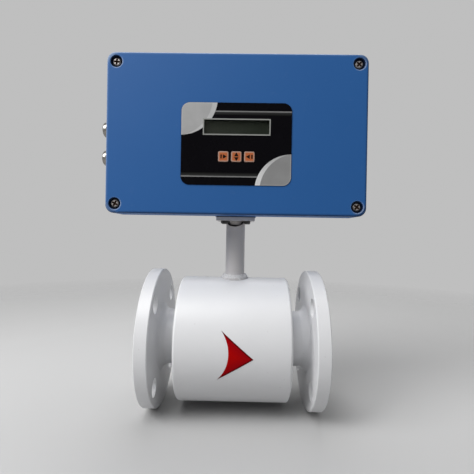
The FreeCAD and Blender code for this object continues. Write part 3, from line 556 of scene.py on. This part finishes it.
def copper_winding():
    """Layers of enamelled copper wire."""
    coil = Finish("copper_winding")
    wire = 0.6 * MM
    turn = coil.maths("SINE", coil.along("Z") * (2 * math.pi / wire))
    tone = coil.blend(coil.noise(3 * MM), rgb(0.42, 0.13, 0.04), rgb(0.52, 0.18, 0.06))
    coil.emboss(turn, 0.1 * MM)
    return coil.surface(Base_Color=tone, Roughness=0.3 + coil.noise(2 * MM) * 0.1, Metallic=0.9)


def seen_straight(finish):
    """A mask that is 1 for what the camera sees, also through glass or in a mirror."""
    camera = finish.node("ShaderNodeLightPath", {}, {}, "Is Camera Ray")
    mirror = finish.node("ShaderNodeLightPath", {}, {}, "Is Glossy Ray")
    glass = finish.node("ShaderNodeLightPath", {}, {}, "Is Transmission Ray")
    return finish.ramp(camera + mirror + glass, (0.0, 0.0), (1.0, 1.0))


def studio_paper():
    """The plain pale floor, which fades out into the pale surround."""
    paper = Finish("studio_paper")
    shown = paper.blend(paper.noise(300 * MM), grey(0.50), grey(0.52))
    tone = paper.blend(seen_straight(paper), grey(0.42), shown)
    sheet = paper.node("ShaderNodeBsdfPrincipled", {}, {
        "Base Color": tone, "Roughness": 0.9, "Specular IOR Level": 0.1,
    })
    away = paper.node("ShaderNodeVectorMath", {"operation": "LENGTH"}, {0: paper.place}, "Value")
    fade = paper.ramp(away * 0.5, (0.22, 0.0), (0.62, 1.0))
    gone = paper.node("ShaderNodeBsdfTransparent", {}, {})
    both = paper.node("ShaderNodeMixShader", {}, {0: fade, 1: sheet, 2: gone})
    paper.node("ShaderNodeOutputMaterial", {}, {"Surface": both})
    return paper.material


# ---------------------------------------------------------------- finishes of the solids

def dress_nodes(finishes):
    """Give every solid the finish of its material slot, and the neck pipe and plate a darker copy
    of the white enamel: painted shade for the enclosure's shadow.
    """
    # painted shade: a darker grey copy of the white enamel, darker still in its hollows
    shaded_neck_coat = white_enamel("shaded_neck_enamel", (0.61, 0.59, 0.59), 0.6)
    for part in frame["record"]["subparts"]:
        piece = frame["nodes"][part["node"]]
        finish = finishes[part["material_slot"]]
        if part["node"] in ("neck_pipe", "neck_plate"):
            finish = shaded_neck_coat
        piece.data.materials.clear()
        piece.data.materials.append(finish)


def all_finishes():
    """One finish for each material slot of the record."""
    return {
        "white_paint": white_enamel("white_enamel"),
        "blue_paint": blue_powder_coat(),
        "liner_rubber": moulded("liner_rubber", (0.028, 0.028, 0.030), 0.55, 0.8),
        "black_rubber": moulded("black_rubber", (0.016, 0.016, 0.017), 0.6, 0.6),
        "soft_iron": bare_metal("soft_iron", (0.23, 0.22, 0.21), 0.5),
        "coil_copper": copper_winding(),
        "stainless_steel": bare_metal("stainless_steel", (0.62, 0.61, 0.60), 0.26),
        "zinc_steel": stained_zinc(),
        "black_steel": moulded("black_steel", (0.012, 0.011, 0.011), 0.42, 0.7),
        "nickel_plate": bare_metal("nickel_plate", (0.28, 0.267, 0.25), 0.15,
                                   recess_tone=rgb(0.02, 0.018, 0.015)),
        "red_film": red_film(),
        "overlay_film": film_print("overlay_black", rgb(0.0026, 0.0023, 0.0034), 0.26),
        "clear_pane": clear_pane(),
        "orange_key": orange_key(),
        "lcd_face": unlit_display(),
        "white_plastic": moulded("white_plastic", (0.72, 0.72, 0.69), 0.45),
        "black_plastic": moulded("black_plastic", (0.022, 0.022, 0.022), 0.45),
        "green_plastic": moulded("green_plastic", (0.03, 0.21, 0.07), 0.45),
        "circuit_board": circuit_board(),
    }


# ---------------------------------------------------------------- modelling helpers

def deselect():
    bpy.ops.object.select_all(action="DESELECT")


def take(piece):
    """Make a piece the only one selected, and active."""
    deselect()
    piece.select_set(True)
    bpy.context.view_layer.objects.active = piece


def named(name):
    """Name the piece that was just added, and apply its place and size to its mesh."""
    piece = bpy.context.object
    piece.name = name
    piece.data.name = name
    bpy.ops.object.transform_apply(location=True, rotation=True, scale=True)
    return piece


def apply_modifier(piece, kind, **settings):
    """Finish a piece with a modifier."""
    take(piece)
    modifier = piece.modifiers.new(kind.lower(), kind)
    for key, value in settings.items():
        setattr(modifier, key, value)
    bpy.ops.object.modifier_apply(modifier=modifier.name)
    return piece


def carve(piece, tool, operation="DIFFERENCE"):
    """Cut, join or keep what two closed pieces share; the tool is used up."""
    apply_modifier(piece, "BOOLEAN", operation=operation, object=tool, solver="EXACT")
    bpy.data.objects.remove(tool)
    return piece


def round_upright_edges(piece, radius, segments):
    """Round the edges of a plate that run front to back."""
    take(piece)
    bpy.ops.object.mode_set(mode="EDIT")
    bpy.ops.mesh.select_mode(type="EDGE")
    bpy.ops.mesh.select_all(action="DESELECT")
    bpy.ops.object.mode_set(mode="OBJECT")
    points = piece.data.vertices
    for edge in piece.data.edges:
        start, end = (points[index].co for index in edge.vertices)
        edge.select = abs(start.y - end.y) > 0.5 * (start - end).length
    bpy.ops.object.mode_set(mode="EDIT")
    bpy.ops.mesh.bevel(offset=radius, segments=segments, affect="EDGES")
    bpy.ops.object.mode_set(mode="OBJECT")


def plate(name, low, high, corner=0.0):
    """A thin plate that faces the front, between two corners, with round corners."""
    deselect()
    bpy.ops.mesh.primitive_cube_add(size=1, location=(low + high) / 2, scale=high - low)
    piece = named(name)
    if corner > 0:
        round_upright_edges(piece, corner, 10)
    return piece


def disc(name, centre, radius, depth, corners=160, turn=0.0):
    """A thin disc that faces the front, or a thin triangle if it has three corners."""
    deselect()
    bpy.ops.mesh.primitive_cylinder_add(vertices=corners, radius=radius, depth=depth,
                                        location=centre, rotation=(math.pi / 2, turn, 0))
    return named(name)


def finish_piece(piece, material, body):
    """Give a new piece its material and its body."""
    piece.data.materials.clear()
    piece.data.materials.append(material)
    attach(piece, body)
    return piece


def join(name, pieces):
    """Join pieces into one."""
    take(pieces[0])
    for piece in pieces[1:]:
        piece.select_set(True)
    bpy.ops.object.join()
    pieces[0].name = name
    pieces[0].data.name = name
    return pieces[0]


# ---------------------------------------------------------------- print on the film

def film_span(x_low, x_high, z_low, z_high, layer=1):
    """Two corners of a print on the film's face, in the film's plane."""
    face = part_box("front_overlay")[0].y
    return Vector((x_low, face - layer * FILM_LAYER, z_low)), Vector((x_high, face, z_high))


def film_outline(name, layer=1):
    """A plate with the film's own outline, a hair inside its edge."""
    low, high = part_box("front_overlay")
    corners = film_span(low.x + FILM_INSET, high.x - FILM_INSET,
                        low.z + FILM_INSET, high.z - FILM_INSET, layer)
    return plate(name, *corners, FILM_CORNER - FILM_INSET)


def sector_cutter(name, centre, radius):
    """A thick disc that cuts a print to the outline of a sector."""
    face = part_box("front_overlay")[0].y
    return disc(name, Vector((centre.x, face, centre.z)), radius, 2 * CUTTER_REACH)


def corner_disc(name, centre, radius, layer):
    """The part of a disc that lies on the film."""
    cutter = sector_cutter(name + "_disc", centre, radius)
    return carve(film_outline(name, layer), cutter, "INTERSECT")


def window_span(grow, layer=1):
    """The window's outline on the film, grown by a margin."""
    low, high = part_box("display_window")
    side = 1.35 * MM - grow
    top = 1.25 * MM - grow
    return film_span(low.x + side, high.x - side, low.z + top, high.z - top, layer)


def cut_window(piece, grow):
    """Cut the window, grown by a margin, out of a print."""
    low, high = window_span(grow)
    reach = Vector((0, CUTTER_REACH, 0))
    return carve(piece, plate("window_cutter", low - reach, high + reach))


def sector_centres():
    """The centres of the printed sectors, just off the top left and bottom right corners."""
    low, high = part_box("front_overlay")
    upper = Vector((low.x - 0.5 * MM, 0, high.z + 4.1 * MM))
    lower = Vector((high.x + 0.3 * MM, 0, low.z - 5.2 * MM))
    return upper, lower


def print_corners(silver, dull, pale, bright):
    """The two printed sectors, each with a bright crescent: silver above, dull below."""
    upper, lower = sector_centres()
    shift = Vector((5.7 * MM, 0, 0))
    inner = SECTOR_RADIUS + 0.7 * MM
    rim = corner_disc("upper_rim_print", upper, SECTOR_RADIUS, 1)
    finish_piece(cut_window(rim, WINDOW_FRAME), pale, BODY)
    field = corner_disc("upper_corner_print", upper - shift, inner, 2)
    finish_piece(cut_window(field, WINDOW_FRAME), silver, BODY)
    rim = corner_disc("lower_rim_print", lower, SECTOR_RADIUS, 1)
    finish_piece(rim, bright, BODY)
    field = corner_disc("lower_corner_print", lower + shift, inner, 2)
    finish_piece(field, dull, BODY)


def film_strip(name, low_z, high_z, sector, material):
    """A print that runs right across the film, as far as a sector."""
    low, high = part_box("front_overlay")
    edge = 0.2 * MM
    strip = plate(name, *film_span(low.x + edge, high.x - edge, low_z, high_z))
    carve(strip, sector_cutter("sector_cutter", sector, SECTOR_RADIUS))
    finish_piece(strip, material, BODY)


def print_lines(line_material):
    """The two rules of the film, each with a band that fades into the black."""
    low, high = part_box("front_overlay")
    upper, lower = sector_centres()
    for name, height, sector, below in (("upper", high.z - 8.7 * MM, upper, True),
                                        ("lower", low.z + 8.5 * MM, lower, False)):
        rule_low, rule_high = height - RULE_HALF_HEIGHT, height + RULE_HALF_HEIGHT
        band_low = rule_low - BAND_HEIGHT if below else rule_high
        band = name + "_band_print"
        fading = band_print(band, band_low, band_low + BAND_HEIGHT, below)
        film_strip(name + "_rule_print", rule_low, rule_high, sector, line_material)
        film_strip(band, band_low, band_low + BAND_HEIGHT, sector, fading)


def print_window_frame(material):
    """The pale frame printed round the window."""
    frame_plate = plate("window_frame_print", *window_span(WINDOW_FRAME, 2), 0.4 * MM)
    finish_piece(cut_window(frame_plate, 0.0), material, BODY)


def key_triangle(name, key, x, z, turn):
    """A small triangle on a key's face; turn 0 points it up."""
    low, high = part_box(key)
    centre = Vector(((low.x + high.x) / 2 + x, low.y, (low.z + high.z) / 2 + z))
    return disc(name, centre, 2.65 * MM, 2 * FILM_LAYER, 3, turn)


def key_bar(name, key, x):
    """A short upright bar on a key's face."""
    low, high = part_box(key)
    centre = Vector(((low.x + high.x) / 2 + x, low.y, (low.z + high.z) / 2))
    half = Vector((0.75 * MM, FILM_LAYER, 2.0 * MM))
    return plate(name, centre - half, centre + half)


def print_key_symbols(material):
    """The keys' black signs: step on, up and down, step back."""
    quarter = math.pi / 2
    signs = {
        "left_key": [key_bar("bar", "left_key", -2.2 * MM),
                     key_triangle("arrow", "left_key", 0.9 * MM, 0, quarter)],
        "middle_key": [key_triangle("up", "middle_key", 0, 1.6 * MM, 0),
                       key_triangle("down", "middle_key", 0, -1.9 * MM, 2 * quarter)],
        "right_key": [key_triangle("arrow", "right_key", -0.9 * MM, 0, -quarter),
                      key_bar("bar", "right_key", 2.6 * MM)],
    }
    for key, pieces in signs.items():
        finish_piece(join(key + "_sign", pieces), material, key)


def print_film():
    """Everything printed on the front film."""
    silver = film_print("silver_print", grey(0.40), 0.4, 0.1, 1.25)
    dull = film_print("dull_print", grey(0.27), 0.4, 0.1, 1.45)
    pale = film_print("pale_print", grey(0.50), 0.4, 0.1, 1.15)
    bright = film_print("bright_print", grey(0.68), 0.4, 0.1, 1.15, 0.62)
    rule = film_print("rule_print", grey(0.22), 0.4)
    window = film_print("window_print", rgb(0.31, 0.318, 0.302), 0.4)
    black = film_print("black_print", grey(0.006), 0.3)
    print_corners(silver, dull, pale, bright)
    print_lines(rule)
    print_window_frame(window)
    print_key_symbols(black)


# ---------------------------------------------------------------- welds

def weld_bead(name, path, seed, material):
    """A hand-laid weld: overlapping drops, each with its place and size, melted into one bead."""
    random.seed(seed)
    drops = []
    for point, drop in path:
        size = drop * random.uniform(0.80, 1.16)
        wander = Vector([random.uniform(-0.2, 0.2) * drop for _ in range(3)])
        deselect()
        bpy.ops.mesh.primitive_uv_sphere_add(segments=16, ring_count=10, radius=size,
                                             location=point + wander)
        drops.append(named("drop"))
    bead = join(name, drops)
    apply_modifier(bead, "REMESH", mode="VOXEL", voxel_size=0.25 * MM)
    apply_modifier(bead, "SMOOTH", factor=0.5, iterations=3)
    take(bead)
    bpy.ops.object.shade_smooth()
    return finish_piece(bead, material, BODY)


def neck_welds(material):
    """The run of weld up the neck's foot, three lumpy rounds that follow the round housing."""
    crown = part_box("coil_housing")[1].z
    rounds = ((14.0, 0.5, 1.25), (12.7, 1.9, 1.75), (11.5, 3.7, 1.45))
    foot = []
    for ring, up, drop in rounds:
        count = round(2 * math.pi * ring / (1.1 * drop))
        for i in range(count):
            angle = 2 * math.pi * i / count
            across, deep = ring * MM * math.cos(angle), ring * MM * math.sin(angle)
            height = math.sqrt(crown ** 2 - deep ** 2) + up * MM
            foot.append((Vector((across, deep, height)), drop * MM))
    weld_bead("neck_foot_weld", foot, 3, material)


# ---------------------------------------------------------------- studio

def build_floor(material):
    """A wide floor, just under the flanges."""
    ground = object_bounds()[0].z - 0.2 * MM
    deselect()
    bpy.ops.mesh.primitive_plane_add(size=8, location=(0, 0, ground))
    floor = named("floor")
    floor.data.materials.append(material)
    floor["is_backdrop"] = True


def soft_light(name, location, target, size, power):
    """A square soft box aimed at a point."""
    lamp = bpy.data.lights.new(name, "AREA")
    lamp.shape = "SQUARE"
    lamp.size = size
    lamp.energy = power
    box = bpy.data.objects.new(name, lamp)
    box.location = location
    box.rotation_euler = (Vector(target) - Vector(location)).to_track_quat("-Z", "Y").to_euler()
    bpy.context.scene.collection.objects.link(box)


def pale_surround():
    """A surround that is pale to the eye and adds only a little even light to the object."""
    world = bpy.data.worlds.new("surround")
    world.use_nodes = True
    nodes = world.node_tree.nodes
    links = world.node_tree.links
    path = nodes.new("ShaderNodeLightPath")
    seen = nodes.new("ShaderNodeMath")
    seen.operation = "MAXIMUM"
    links.new(path.outputs["Is Camera Ray"], seen.inputs[0])
    links.new(path.outputs["Is Glossy Ray"], seen.inputs[1])
    also = nodes.new("ShaderNodeMath")
    also.operation = "MAXIMUM"
    links.new(seen.outputs[0], also.inputs[0])
    links.new(path.outputs["Is Transmission Ray"], also.inputs[1])
    strength = nodes.new("ShaderNodeMapRange")
    strength.inputs["To Min"].default_value = 0.07
    strength.inputs["To Max"].default_value = 0.52
    links.new(also.outputs[0], strength.inputs["Value"])
    links.new(strength.outputs[0], nodes["Background"].inputs["Strength"])
    nodes["Background"].inputs["Color"].default_value = grey(1.0)
    bpy.context.scene.world = world


def light_studio():
    """Two keys from the upper left front, two boxes overhead, and two weak ones on the right."""
    middle = (0, 0, 0.11)
    soft_light("key_light", (-1.25, -0.8, 1.0), middle, 0.9, 18.8)
    soft_light("high_light", (-0.55, -0.85, 1.5), middle, 0.9, 14.8)
    soft_light("top_light", (0, 0.05, 1.5), middle, 1.0, 6.5)
    soft_light("side_fill", (1.35, -0.75, 0.3), middle, 1.0, 1.1)
    soft_light("right_light", (1.3, 0.55, 0.8), middle, 1.0, 2.6)
    soft_light("back_light", (0, 0.7, 1.35), middle, 1.0, 8)
    pale_surround()


def place_camera():
    """A close view from the front, level with the neck, turned very slightly."""
    place = Vector((6.9, -416.3, 115.7)) * MM
    yaw, pitch, roll = -0.0124, 0.0051, 0.0170
    level_ahead = Vector((math.sin(yaw), math.cos(yaw), 0))
    ahead = level_ahead * math.cos(pitch) - Vector((0, 0, math.sin(pitch)))
    level = Vector((math.cos(yaw), -math.sin(yaw), 0))
    above = level.cross(ahead)
    right = level * math.cos(roll) + above * math.sin(roll)
    up = above * math.cos(roll) - level * math.sin(roll)
    lens = bpy.data.cameras.new("view")
    lens.sensor_width = 36
    lens.lens = 27.78
    lens.clip_start = 0.01
    camera = bpy.data.objects.new("view", lens)
    turned = Matrix((right, up, -ahead)).transposed().to_4x4()
    camera.matrix_world = Matrix.Translation(place) @ turned
    bpy.context.scene.collection.objects.link(camera)
    bpy.context.scene.camera = camera


def main():
    finishes = all_finishes()
    dress_nodes(finishes)
    print_film()
    neck_welds(white_enamel("weld_enamel", (0.73, 0.725, 0.73)))
    build_floor(studio_paper())
    light_studio()
    place_camera()
    bpy.context.scene.view_settings.view_transform = "Standard"


main()
